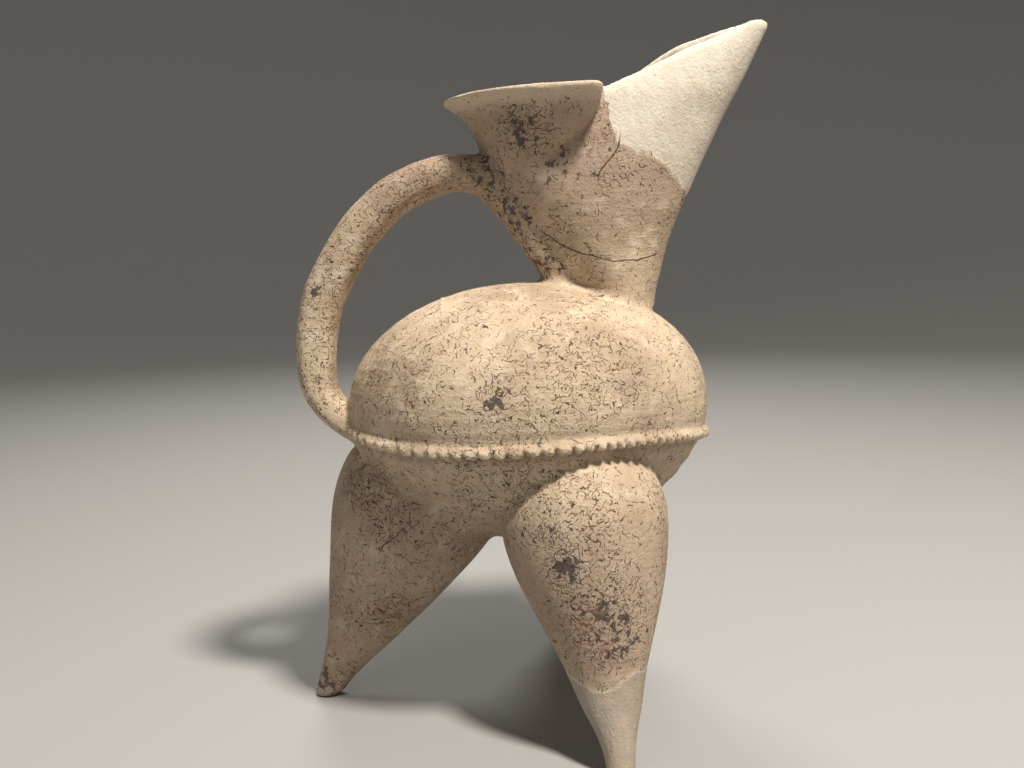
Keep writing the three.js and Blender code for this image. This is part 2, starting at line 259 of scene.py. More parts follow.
# The beak's outlines against its height, as shares of its reach from the neck to the tip.
KEEL_LINE = curve([
    (-0.1, -0.02), (0, 0), (0.08, 0.045), (0.2, 0.12), (0.4, 0.316), (0.64, 0.58), (0.82, 0.8), (1, 1),
    (1.1, 1.12),
])
BEAK_BACK = curve([
    (0.4, -0.42), (0.55, -0.42), (0.65, -0.39), (0.75, -0.31), (0.79, -0.22), (0.86, -0.03), (0.92, 0.2),
    (1, 0.47), (1.07, 0.69), (1.1, 0.8),
])
BEAK_MIDDLE = curve([
    (-0.1, 0.2), (0.03, 0.2), (0.22, 0.1), (0.36, 0), (0.45, -0.08), (0.55, -0.1), (0.65, -0.03),
    (0.75, 0.14), (0.86, 0.37), (0.92, 0.54), (1, 0.71), (1.1, 0.87),
])
BEAK_FULLNESS = curve([
    (-0.1, 0.8), (0.02, 0.82), (0.2, 0.89), (0.32, 0.96), (0.5, 1), (0.62, 0.96), (0.72, 0.89),
    (0.78, 0.81), (0.86, 0.68), (0.93, 0.52), (1, 0.36), (1.07, 0.23), (1.1, 0.18),
])


def beak(block):
    """The neck's front and the beak that it runs up into."""
    share = (block.z - NECK_HEIGHT + 2) / (TIP_HEIGHT - NECK_HEIGHT + 2)
    form = oval(
        block,
        rear=np.maximum(neck_back(block.z), mix(NECK_REAR, BEAK_TIP, BEAK_BACK(share))),
        middle=mix(NECK_REAR, BEAK_TIP, BEAK_MIDDLE(share)),
        front=mix(NECK_FRONT, BEAK_TIP, KEEL_LINE(share)),
        half_width=BEAK_WIDTH / 2 * BEAK_FULLNESS(share),
    )
    return common(form, NECK_HEIGHT - 9 - block.z, 2)


# The funnel mouth's outlines against the neck's height.
FUNNEL_ROOT = 0.4
FLARE_OUT = curve([
    (0.4, -0.25), (0.46, -0.1), (0.53, 0.04), (0.6, 0.18), (0.67, 0.32), (0.73, 0.43), (0.8, 0.56),
    (0.87, 0.7), (0.94, 0.86), (1, 1),
])
FOLD_LINE = curve([
    (0.4, 0.35), (0.5, 0.33), (0.6, 0.34), (0.66, 0.375), (0.71, 0.46), (0.76, 0.63), (0.81, 0.77),
    (0.87, 0.89), (0.93, 0.963), (1, 1),
])
FOLD_SQUARENESS = curve([(0.4, 2), (0.6, 3), (0.7, 4), (0.86, 6), (1, 8)])


def funnel(block):
    """The neck's back and the funnel mouth, with the fold between mouth and beak."""
    share = (block.z - NECK_HEIGHT) / (RIM_HEIGHT - NECK_HEIGHT)
    rear = neck_back(block.z) + LIP_WALL * (1 - smooth(0.45, 0.62, share))
    front = mix(NECK_REAR - NECK_WIDTH / 2, MOUTH_FRONT, FOLD_LINE(share))
    form = oval(
        block,
        rear=rear,
        middle=mix(rear, front, 0.62),
        front=front,
        half_width=mix(NECK_WIDTH, MOUTH_WIDTH, FLARE_OUT(share)) / 2,
        squareness=FOLD_SQUARENESS(share),
    )
    root_height = mix(NECK_HEIGHT, RIM_HEIGHT, FUNNEL_ROOT)
    return common(form, root_height - block.z, 2)


# The beak's open edges from the mouth to the tip: their height, and how the slit leans.
SLIT_HEIGHT = curve([
    (-0.7, 0), (0, 0), (0.05, 0.05), (0.22, 0.28), (0.47, 0.64), (0.61, 0.77), (0.83, 0.97), (0.91, 1.01),
    (0.97, 0.99), (1.01, 0.91), (1.04, 0.72), (1.3, 0.5),
])
SLIT_LEAN = curve([
    (-0.7, 0), (0.05, 0), (0.22, 0.08), (0.47, 0.24), (0.7, 0.24), (0.9, 0.08), (1.04, 0), (1.3, 0),
])


def open_edge(block):
    """Distance above the mouth's rim and the beak's open edges."""
    share = (block.x - MOUTH_FRONT) / (BEAK_TIP - MOUTH_FRONT)
    edge = mix(RIM_HEIGHT, TIP_HEIGHT, SLIT_HEIGHT(share)) + SLIT_LEAN(share) * block.y
    edge = edge - RIM_DROP * np.clip((MOUTH_FRONT - block.x) / (MOUTH_FRONT - MOUTH_REAR), 0, 1)
    return distance(block.z - edge)


def strap_path():
    """The strap's middle line in the vessel's middle plane, as points one after another."""
    root = -HALF_LENGTH
    out = -HANDLE_REACH
    climb = HANDLE_TOP - BAND_LEVEL

    def on_neck(share, depth):
        height = mix(NECK_HEIGHT, RIM_HEIGHT, share)
        return float(neck_back(height)) - depth, height

    points = np.array([
        (root + 8, BAND_LEVEL - 0.5),
        (root, BAND_LEVEL + climb * 0.035),
        (mix(root, out, 0.62), BAND_LEVEL + climb * 0.1),
        (mix(root, out, 0.96), BAND_LEVEL + climb * 0.19),
        (out, BAND_LEVEL + climb * 0.33),
        (mix(out, NECK_REAR, 0.01), BAND_LEVEL + climb * 0.42),
        (mix(out, NECK_REAR, 0.05), BAND_LEVEL + climb * 0.56),
        (mix(out, NECK_REAR, 0.165), BAND_LEVEL + climb * 0.76),
        (mix(out, NECK_REAR, 0.25), BAND_LEVEL + climb * 0.855),
        (mix(out, NECK_REAR, 0.32), BAND_LEVEL + climb * 0.916),
        (mix(out, NECK_REAR, 0.39), BAND_LEVEL + climb * 0.956),
        (mix(out, NECK_REAR, 0.455), BAND_LEVEL + climb * 0.981),
        (mix(out, NECK_REAR, 0.52), HANDLE_TOP),
        (mix(out, NECK_REAR, 0.585), HANDLE_TOP),
        (mix(out, NECK_REAR, 0.645), BAND_LEVEL + climb * 0.979),
        on_neck(0.52, 4.5),
        on_neck(0.4, 3),
        on_neck(0.28, 2.5),
        on_neck(0.17, 3),
        on_neck(0.07, 3),
        (NECK_REAR, NECK_HEIGHT),
        (NECK_REAR + CLAY_WALL, NECK_HEIGHT - 4),
    ])
    travel = np.concatenate([[0], np.cumsum(np.hypot(*np.diff(points, axis=0).T))])
    places = np.linspace(0, travel[-1], 400)
    x, z = (curve(np.column_stack([travel, values]))(places) for values in points.T)
    return x, z, places / travel[-1]


# The strap's thickness and width along it, as shares of its full ones.
STRAP_DEPTH = curve([
    (0, 0.7), (0.08, 0.76), (0.16, 0.9), (0.3, 1.03), (0.5, 1), (0.62, 0.94), (0.7, 0.82), (0.78, 0.68),
    (1, 0.4),
])
STRAP_SPREAD = curve([(0, 1.15), (0.1, 1.04), (0.25, 1), (0.7, 1), (0.85, 0.92), (1, 0.7)])
STRAP_SQUARENESS = 2.78


def handle(block):
    """The strap: a boxy oval drawn along its middle line."""
    path_x, path_z, share = strap_path()
    planes = np.meshgrid(block.x.ravel(), block.z.ravel(), indexing="ij")
    plane_x, plane_z = (plane.astype(np.float32) for plane in planes)
    nearest = np.full(plane_x.shape, 1e9, np.float32)
    place = np.zeros(plane_x.shape, np.float32)
    for x, z, where in zip(path_x, path_z, share):
        away = (plane_x - x) ** 2 + (plane_z - z) ** 2
        place = np.where(away < nearest, where, place)
        nearest = np.minimum(nearest, away)
    deep = np.sqrt(nearest) / (STRAP_THICKNESS / 2 * STRAP_DEPTH(place))
    wide = np.abs(block.y) / (STRAP_WIDTH / 2 * STRAP_SPREAD(place))[:, None, :]
    power = STRAP_SQUARENESS
    return distance((deep[:, None, :] ** power + wide ** power) ** (1 / power) - 1)


def hand_sway(block, phase, size):
    """Slow unevenness of a surface shaped by hand, from -1 to 1."""
    x, y, z = (axis / size + phase * factor for axis, factor in ((block.x, 1), (block.y, 2), (block.z, 3)))
    broad = np.sin(x + 0.6 * np.sin(y)) * np.sin(y * 1.1 + 0.7 * np.sin(z))
    broad = broad + np.sin(z * 0.9 + 0.8 * np.sin(x))
    close = np.sin(2.3 * x + z) * np.sin(1.9 * y - 1.3 * z)
    return broad * 0.35 + close * 0.3


def throwing_marks(block):
    """Faint level ridges where the body was wiped, and broader waves of its coils under the band."""
    turn = np.arctan2(block.y, block.x)
    wiped = 0.07 * np.sin(block.z * 2 * np.pi / 4.5 + 1.4 * np.sin(2 * turn + block.z / 17))
    coiled = 0.2 * np.sin(block.z * 2 * np.pi / 8 + 1.1 * np.sin(3 * turn - block.z / 11))
    return mix(coiled, wiped, smooth(BAND_LEVEL - 4, BAND_LEVEL + 4, block.z))


def tooth_places():
    """Arc lengths around the waist where the pinched notches lie, closer towards the beak."""
    random = np.random.default_rng(7)
    angles = np.linspace(-np.pi, np.pi, 2001)
    steps = np.hypot(np.diff(HALF_LENGTH * np.cos(angles)), np.diff(HALF_WIDTH * np.sin(angles)))
    arc = np.concatenate([[0], np.cumsum(steps)])
    notches = [0.0]
    while notches[-1] < arc[-1]:
        forward = math.cos(np.interp(notches[-1], arc, angles))
        pitch = mix(REAR_TOOTH_PITCH, FRONT_TOOTH_PITCH, (1 + forward) / 2)
        notches.append(notches[-1] + pitch * random.uniform(0.72, 1.3))
    return angles, arc, np.array(notches)


def band_line(x, y):
    """The height of the notched band around the waist."""
    angle = np.arctan2(y / HALF_WIDTH, x / HALF_LENGTH)
    return BAND_LEVEL - BAND_SLOPE * np.cos(angle) - BAND_RIPPLE * np.cos(3 * angle)


def band(block):
    """How far the notched band stands proud of the wall."""
    angles, arc, notches = tooth_places()
    angle = np.arctan2(block.y / HALF_WIDTH, block.x / HALF_LENGTH)
    level = block.z - band_line(block.x, block.y)
    along = np.interp(angle, angles, arc) + 0.35 * level
    phase = np.interp(along, notches, np.arange(len(notches)))
    within = phase - np.floor(phase)
    random = np.random.default_rng(11)
    strength = random.uniform(0.5, 1.0, len(notches) + 1)[np.floor(phase).astype(int)]
    tooth = 1 - strength * np.abs(2 * within - 1) ** 3.5
    upper = 1 - smooth(-1.4, 3.0, level)
    foot = -0.6 - 2.9 * tooth
    lower = smooth(foot - 0.5, foot + 0.6, level)
    notched = mix(tooth, 1, smooth(-1.0, 1.6, level))
    return upper * lower * mix(NOTCH_GROUND, BAND_DEPTH, notched)


def clay_fields():
    """Sampling axes, and the field of the whole shell of clay."""
    margin = 3
    low = np.array([CAD_LOW.x / METRES - CENTRE_LINE, CAD_LOW.y / METRES, 0]) - margin
    high = np.array([CAD_HIGH.x / METRES - CENTRE_LINE, CAD_HIGH.y / METRES, CAD_HIGH.z / METRES]) + margin
    axes = []
    for start, end in zip(low, high):
        steps = np.arange(math.floor(start / GRID_STEP), math.ceil(end / GRID_STEP) + 1)
        axes.append((steps * GRID_STEP).astype(np.float32))
    everything = Block(axes, low - 9, high + 9)
    core = np.full([len(axis) for axis in axes], FAR, np.float32)

    def add(field, form, block, softness):
        field[block.where] = joined(field[block.where], form(block), softness)

    add(core, lambda part: body(part) + throwing_marks(part), Block(axes, (-100, -82, 55), (100, 82, 205)), 1)
    for foot_angle, hip_angle, reach in (
        (math.pi, math.pi, REAR_FOOT_REACH),
        (FRONT_FOOT_ANGLE, FRONT_HIP_ANGLE, FRONT_FOOT_REACH),
        (-FRONT_FOOT_ANGLE, -FRONT_HIP_ANGLE, FRONT_FOOT_REACH),
    ):
        side = math.copysign(1, hip_angle)
        if hip_angle == math.pi:
            block = Block(axes, (-112, -50, -5), (10, 50, LEG_TOP + 12))
        else:
            lows = (-30, min(0, side * 105), -5)
            highs = (95, max(0, side * 105), LEG_TOP + 12)
            block = Block(axes, lows, highs)
        add(core, lambda part: leg(part, foot_angle, hip_angle, reach), block, LEG_FILLET)
    head = Block(axes, (-50, -50, NECK_HEIGHT - 22), (125, 50, 320))
    top = joined(beak(head), funnel(head), mix(9, 1.4, smooth(226, 240, head.z)))
    core[head.where] = joined(core[head.where], top, NECK_FILLET)
    core += 0.3 * hand_sway(everything, 1.7, 15) + 0.35

    skin = core.copy()
    waist = Block(axes, (-95, -78, 112), (95, 78, 138))
    skin[waist.where] -= band(waist)
    grip = Block(axes, (-112, -24, 105), (45, 24, 262))
    strap = handle(grip) + 0.35 * hand_sway(grip, 0.4, 9) + 0.15
    fillet = mix(3.5, 8, smooth(165, 200, grip.z))
    skin[grip.where] = joined(skin[grip.where], strap, fillet)

    wall = mix(CLAY_WALL, LIP_WALL, smooth(NECK_HEIGHT, NECK_HEIGHT + 20, everything.z))
    hollow = common(core + wall, SOLID_FOOT_HEIGHT - everything.z, 6)
    clay = common(skin, -hollow, 0.6)
    clay = common(clay, np.broadcast_to(-everything.z, clay.shape), 0.8)
    clay[head.where] = common(clay[head.where], open_edge(head), 2.4)
    return axes, clay


def clay_mesh():
    """The clay's surface as a mesh, in metres in the frame."""
    axes, field = clay_fields()
    volume = openvdb.FloatGrid(FAR)
    volume.copyFromArray(np.ascontiguousarray(np.clip(field, -FAR, FAR), np.float32))
    points, triangles, quads = volume.convertToPolygons(isovalue=0.0, adaptivity=0.0)
    start = np.array([axis[0] for axis in axes])
    places = (points * GRID_STEP + start + np.array([CENTRE_LINE, 0, 0])) * METRES
    mesh = bpy.data.meshes.new("clay_vessel")
    faces = quads.tolist() + triangles.tolist()
    mesh.from_pydata(places.tolist(), [], faces)
    mesh.update()
    return mesh


def thin_out(piece, triangles):
    """Brings a piece down to a number of triangles, with more of them where it bends."""
    piece.data.calc_loop_triangles()
    modifier = piece.modifiers.new("thin_out", "DECIMATE")
    modifier.ratio = triangles / len(piece.data.loop_triangles)
    modifier.use_collapse_triangulate = True
    graph = bpy.context.evaluated_depsgraph_get()
    made = bpy.data.meshes.new_from_object(piece.evaluated_get(graph))
    piece.modifiers.clear()
    piece.data = made
    form = bmesh.new()
    form.from_mesh(made)
    bmesh.ops.remove_doubles(form, verts=form.verts, dist=0.03 * METRES)
    bmesh.ops.delete(form, geom=specks(form), context="VERTS")
    form.to_mesh(made)
    form.free()


def specks(form):
    """The corners of every loose part but the largest."""
    unseen = set(form.verts)
    parts = []
    while unseen:
        front = [unseen.pop()]
        part = []
        while front:
            corner = front.pop()
            part.append(corner)
            linked = {edge.other_vert(corner) for edge in corner.link_edges} & unseen
            unseen -= linked
            front.extend(linked)
        parts.append(part)
    largest = max(parts, key=len)
    return [corner for part in parts if part is not largest for corner in part]


def unfold(mesh):
    """Smooths the few corners where the thinning left a folded or a needle-thin face."""
    ends = np.empty(len(mesh.edges) * 2, np.int32)
    mesh.edges.foreach_get("vertices", ends)
    first, second = ends.reshape(-1, 2).T
    corners = np.empty(len(mesh.loops), np.int32)
    mesh.loops.foreach_get("vertex_index", corners)
    corners = corners.reshape(-1, 3)
    count = np.bincount(ends, minlength=len(mesh.vertices))
    for _ in range(8):
        places = vectors(mesh.vertices, "co")
        sides = places[np.roll(corners, -1, axis=1)] - places[corners]
        longest = np.linalg.norm(sides, axis=2).max(axis=1)
        twice_area = np.linalg.norm(np.cross(sides[:, 0], sides[:, 1]), axis=1)
        thickness = twice_area / np.maximum(longest, 1e-9)
        leans = vectors(mesh.vertex_normals, "vector")[corners]
        bends = (leans * vectors(mesh.polygon_normals, "vector")[:, None, :]).sum(axis=2).min(axis=1)
        folded = np.unique(corners[(bends < 0.25) | (thickness < 0.05 * METRES)])
        if not len(folded):
            break
        total = np.zeros_like(places, dtype=float)
        np.add.at(total, first, places[second])
        np.add.at(total, second, places[first])
        places[folded] = total[folded] / count[folded][:, None]
        mesh.vertices.foreach_set("co", places.ravel())
        mesh.update()


def vectors(items, name):
    """One vector from each of a mesh's items, as an array."""
    values = np.empty(len(items) * 3, np.float32)
    items.foreach_get(name, values)
    return values.reshape(-1, 3)


# Marks on the clay, as (x, y, z, radius, strength) in millimetres. The side away from the
# camera and the hidden faces have a few of their own.
SCRATCHED_PLACES = [
    (-15, -62, 142, 14, 1.0), (4, -62, 148, 34, 0.62), (30, -56, 150, 26, 0.5), (-54, -41, 154, 30, 0.5),
    (-2, -30, 250, 17, 0.95), (4, -26, 243, 8, 0.8), (-27, -49, 103, 14, 0.85), (-8, -52, 106, 16, 0.8),
    (-71, -25, 103, 16, 0.9), (-60, -32, 80, 22, 0.6), (-63, -21, 46, 16, 0.8), (11, -68, 100, 30, 0.9),
    (9, -75, 79, 13, 1.2), (26, -80, 58, 24, 0.95), (52, -14, 110, 20, 0.5), (-12, -58, 117, 26, 0.75),
    (14, -18, 211, 10, 0.6), (20, 58, 146, 30, 0.6), (-30, 52, 150, 26, 0.45), (16, 74, 84, 24, 0.8),
    (-92, 14, 60, 18, 0.6), (-10, 30, 246, 18, 0.8), (70, 0, 140, 16, 0.4),
]
SOOTED_PLACES = [
    (-15, -62, 142, 7, 0.95), (-12, -62, 147, 5, 0.7), (-2, -30, 250, 13, 0.55), (9, -75, 79, 10, 0.8),
    (4, -72, 88, 12, 0.4), (26, -81, 56, 19, 0.62), (14, -79, 66, 12, 0.45), (-90, -13, 187, 6, 0.5),
    (15, -20, 234, 15, 0.4), (28, -21, 238, 14, 0.3), (12, -8, 197, 14, 0.5), (-97, 0, 7, 13, 0.75),
    (-64, -24, 52, 12, 0.3), (-14, 60, 138, 9, 0.6), (20, 78, 70, 16, 0.5), (-6, 32, 248, 12, 0.4),
]
REDDENED_PLACES = [
    (17, -80, 56, 12, 0.9), (-63, -21, 46, 13, 0.7), (24, -80, 44, 10, 0.5), (28, -21, 244, 15, 0.45),
    (18, 80, 60, 12, 0.6), (-10, -60, 116, 16, 0.25),
]
ROSY_PLACES = [
    (30, -20, 246, 18, 0.8), (44, -20, 228, 22, 0.5), (20, -78, 48, 18, 0.4), (30, 20, 244, 18, 0.5),
    (-40, -54, 112, 30, 0.35), (40, -50, 140, 26, 0.25),
]

# Edges of the plaster mends, and the near side's cracks, in millimetres.
PLASTER_EDGE = curve([(33, 262), (36, 256), (39, 247), (46, 242), (54, 240), (65, 231), (74, 222), (84, 214)])
FOOT_PLASTER_EDGE = 32
NECK_CRACK = curve([(6, 210), (14, 204), (27, 198), (38, 195.5), (49, 195.5), (58, 198)])
EAR_CRACK = curve([(229, 30), (236, 34), (240, 38), (246, 41)])
LEG_SCRATCH = curve([(-66, 77), (-61, 81), (-56, 86)])


def spots(places, marks):
    """How strongly each place is marked by a list of soft round marks."""
    amount = np.zeros(len(places))
    for x, y, z, radius, strength in marks:
        away = np.linalg.norm(places - (x, y, z), axis=1) / radius
        amount = np.maximum(amount, strength * (1 - smooth(0.35, 1.0, away)))
    return amount


def cracks(x, y, z):
    """How far each place lies to one side of a crack on the near side, and whether a crack is there."""
    aside = np.where(z > 222, x - EAR_CRACK(z), np.where(z > 150, z - NECK_CRACK(x), z - LEG_SCRATCH(x)))
    neck = smooth(188, 190, z) * smooth(216, 214, z) * smooth(6, 8, x) * smooth(58, 56, x)
    ear = smooth(228, 230, z) * smooth(247, 245, z) * smooth(20, 22, x) * smooth(50, 48, x)
    leg_side = smooth(75, 77, z) * smooth(88, 86, z) * smooth(-68, -66, x) * smooth(-54, -56, x)
    return aside, np.maximum(np.maximum(neck, ear), leg_side) * (y < 0)


def hollowness(mesh, normals):
    """How far each corner of the mesh lies in a hollow, or on an edge where it is negative."""
    ends = np.empty(len(mesh.edges) * 2, np.int32)
    mesh.edges.foreach_get("vertices", ends)
    first, second = ends.reshape(-1, 2).T
    places = corner_places(mesh)
    run = places[second] - places[first]
    reach = np.maximum((run * run).sum(axis=1), 1e-6)
    bend = np.zeros(len(places))
    count = np.zeros(len(places))
    np.add.at(bend, first, (run * normals[first]).sum(axis=1) / reach)
    np.add.at(bend, second, -(run * normals[second]).sum(axis=1) / reach)
    np.add.at(count, first, 1)
    np.add.at(count, second, 1)
    bend = 2 * bend / np.maximum(count, 1)
    for _ in range(3):
        total = np.zeros(len(places))
        np.add.at(total, first, bend[second])
        np.add.at(total, second, bend[first])
        bend = 0.4 * bend + 0.6 * total / np.maximum(count, 1)
    return bend


def corner_places(mesh):
    """The mesh's corners in millimetres from the body's centre line."""
    return vectors(mesh.vertices, "co") / METRES - (CENTRE_LINE, 0, 0)


def mark(mesh):
    """Stores where the clay is worn, stained and mended, and where its material paints shade and highlights,
    and raises the plaster.
    """
    places = corner_places(mesh)
    normals = vectors(mesh.vertex_normals, "vector")
    x, y, z = places.T
    on_strap = smooth(13.6, 12.8, np.abs(y)) * np.maximum(
        smooth(-79, -84, x) * smooth(124, 128, z),
        smooth(196, 206, z) * smooth(-2, 2, neck_back(z) - x) * smooth(246, 242, z),
    )
    from_back = x - neck_back(z)
    neck_strip = smooth(-16, -7, from_back) * smooth(5.5, 1, from_back)
    neck_strip = neck_strip * smooth(188, 194, z) * smooth(246, 238, z)
    middle = (CAD_LOW.z + CAD_HIGH.z) / METRES / 2
    inner = inside_clay(places, normals)
    beak_mend = (z - PLASTER_EDGE(x)) / 1.4
    beak_mend = np.where(x < 34, -FAR, beak_mend)
    below_edge = FOOT_PLASTER_EDGE + 2.2 * np.sin(x / 4.5) + 0.1 * x - z
    foot_mend = np.where((y < -50) & (x > 0), below_edge, -FAR)
    mended = np.clip(np.maximum(beak_mend, foot_mend), -FAR, FAR)
    scratched = np.maximum(spots(places, SCRATCHED_PLACES), np.maximum(0.5 * on_strap, 0.75 * neck_strip))
    sooted = np.maximum(spots(places, SOOTED_PLACES), 0.45 * neck_strip)
    # The band just under the rim, which the material paints lighter as a highlight and gives fewer marks.
    lip = smooth(10, 5, RIM_HEIGHT - z) * (x < MOUTH_FRONT)
    beside_crack, cracked = cracks(x, y, z)
    level = z - band_line(x, y)
    within_waist = np.hypot(x / HALF_LENGTH, y / HALF_WIDTH) < 1.0
    # A strip just under the band, where the material paints the band's shadow.
    under_band_shadow = smooth(-9, -4.5, level) * smooth(-1.0, -3.2, level) * within_waist
    values = {
        "scratched": scratched,
        "sooted": sooted,
        "reddened": spots(places, REDDENED_PLACES),
        "mended": mended,
        "beside_crack": beside_crack,
        "cracked": cracked,
        "hollowness": hollowness(mesh, normals),
        "inner": inner,
        "lip": lip,
        "rosy": spots(places, ROSY_PLACES),
        "under_band_shadow": under_band_shadow,
        "height": z,
    }
    for name, amounts in values.items():
        layer = mesh.attributes.new(name, "FLOAT", "POINT")
        layer.data.foreach_set("value", np.ascontiguousarray(amounts, np.float32))
    ridge = 0.3 * smooth(-0.8, 0.8, mended) * (z > middle) * (1 - inner)
    moved = places + normals * ridge[:, None]
    moved[:, 2] = np.clip(moved[:, 2], 0, CAD_HIGH.z / METRES - 0.05)
    moved = (moved + (CENTRE_LINE, 0, 0)) * METRES
    mesh.vertices.foreach_set("co", moved.astype(np.float32).ravel())
    mesh.update()


def inside_clay(places, normals):
    """1 on the faces that look into the hollow, and 0 outside."""
    x, y, z = places.T
    half_height = (SHOULDER_HEIGHT - BELLY_HEIGHT) / 2
    across = np.hypot(x / HALF_LENGTH, y / HALF_WIDTH)
    in_body = 1 - np.hypot(across, (z - WAIST_HEIGHT) / half_height)
    mouth_centre = (MOUTH_FRONT + MOUTH_REAR) / 2
    axis = np.where(z > NECK_HEIGHT, mix(NECK_CENTRE, mouth_centre, smooth(210, RIM_HEIGHT, z)), 0)
    toward = np.stack([axis - x, -y, np.zeros_like(z)], axis=1)
    toward /= np.maximum(np.linalg.norm(toward, axis=1), 1e-3)[:, None]
    facing = (normals * toward).sum(axis=1)
    head = (z > NECK_HEIGHT + 6) & (facing > 0.15) & (x > neck_back(z) - 1)
    return (head | (in_body > 0.12)).astype(float)


class Nodes:
    """Builds a material's nodes, each from plain values or from the outputs of other nodes."""

    def __init__(self, tree):
        self.tree = tree

    def add(self, kind, inputs, output=0, **settings):
        node = self.tree.nodes.new(kind)
        for name, value in settings.items():
            setattr(node, name, value)
        for name, value in inputs.items():
            if isinstance(value, bpy.types.NodeSocket):
                self.tree.links.new(value, node.inputs[name])
            else:
                node.inputs[name].default_value = value
        return node.outputs[output]

    def maths(self, operation, first, second=0.0):
        return self.add("ShaderNodeMath", {0: first, 1: second}, operation=operation)

    def vector(self, operation, first, second=(0, 0, 0), output=0):
        return self.add("ShaderNodeVectorMath", {0: first, 1: second}, output, operation=operation)

    def times(self, first, second):
        return self.maths("MULTIPLY", first, second)

    def plus(self, first, second):
        return self.maths("ADD", first, second)

    def most(self, first, second):
        return self.maths("MAXIMUM", first, second)

    def attribute(self, name):
        return self.add("ShaderNodeAttribute", {}, "Fac", attribute_name=name)

    def noise(self, place, size, detail=2.0):
        """Smooth noise from 0 to 1, its largest features about this many millimetres."""
        return self.add("ShaderNodeTexNoise", {"Vector": place, "Scale": 1 / size, "Detail": detail})

    def step(self, low, high, value):
        inputs = {"Value": value, 1: low, 2: high, 3: 0.0, 4: 1.0}
        return self.add("ShaderNodeMapRange", inputs, interpolation_type="SMOOTHSTEP")

    def tint(self, amount, first, second):
        inputs = {0: amount, 6: first, 7: second}
        return self.add("ShaderNodeMix", inputs, 2, data_type="RGBA")

    def squashed(self, place, factors):
        return self.vector("MULTIPLY", place, factors)

    def strokes(self, place, spacing, length, width, share):
        """Short thin marks at random places and angles, present in a share of the places."""
        scaled = self.vector("SCALE", place)
        scaled.node.inputs["Scale"].default_value = 1 / spacing
        centre = self.add("ShaderNodeTexVoronoi", {"Vector": scaled, "Scale": 1.0}, "Position")
        colour = centre.node.outputs["Color"]
        away = self.vector("SUBTRACT", scaled, centre)
        normal = self.add("ShaderNodeTexCoord", {}, "Normal")
        facing = self.vector("CROSS_PRODUCT", normal, self.vector("SUBTRACT", colour, (0.5, 0.5, 0.5)))
        facing = self.vector("NORMALIZE", facing)
        across = self.maths("ABSOLUTE", self.vector("DOT_PRODUCT", away, facing, "Value"))
        reach = self.vector("LENGTH", away, output="Value")
        chance = self.add("ShaderNodeTexWhiteNoise", {"Vector": centre}, "Value")
        thin = self.step(width / spacing, 0.3 * width / spacing, across)
        short = self.step(length / spacing, 0.8 * length / spacing, reach)
        return self.times(self.times(thin, short), self.maths("LESS_THAN", chance, share))

    def root_marks(self, place, size, width, patches):
        """Long winding lines, in patches."""
        wander = self.maths("ABSOLUTE", self.maths("SUBTRACT", self.noise(place, size, 1.0), 0.5))
        return self.times(self.step(width, 0.4 * width, wander), patches)


CREAM = (0.590, 0.468, 0.330, 1)
TAN = (0.410, 0.305, 0.208, 1)
PALE = (0.740, 0.625, 0.470, 1)
PLASTER = (0.700, 0.645, 0.550, 1)
FOOT_PLASTER = (0.370, 0.318, 0.268, 1)
ROSE = (0.385, 0.278, 0.228, 1)
SOOT = (0.085, 0.072, 0.068, 1)
RUST = (0.260, 0.140, 0.090, 1)
STROKE = (0.060, 0.034, 0.022, 1)
# The next brown serves both real dirt, in the grain and pits, and painted shade in hollows and under the
# band.
DIRT_AND_SHADE = (0.200, 0.140, 0.095, 1)
DUST = (0.330, 0.262, 0.195, 1)
# Brown for the painted shade low down and on the neck.
SHADE_BROWN = (0.275, 0.188, 0.145, 1)


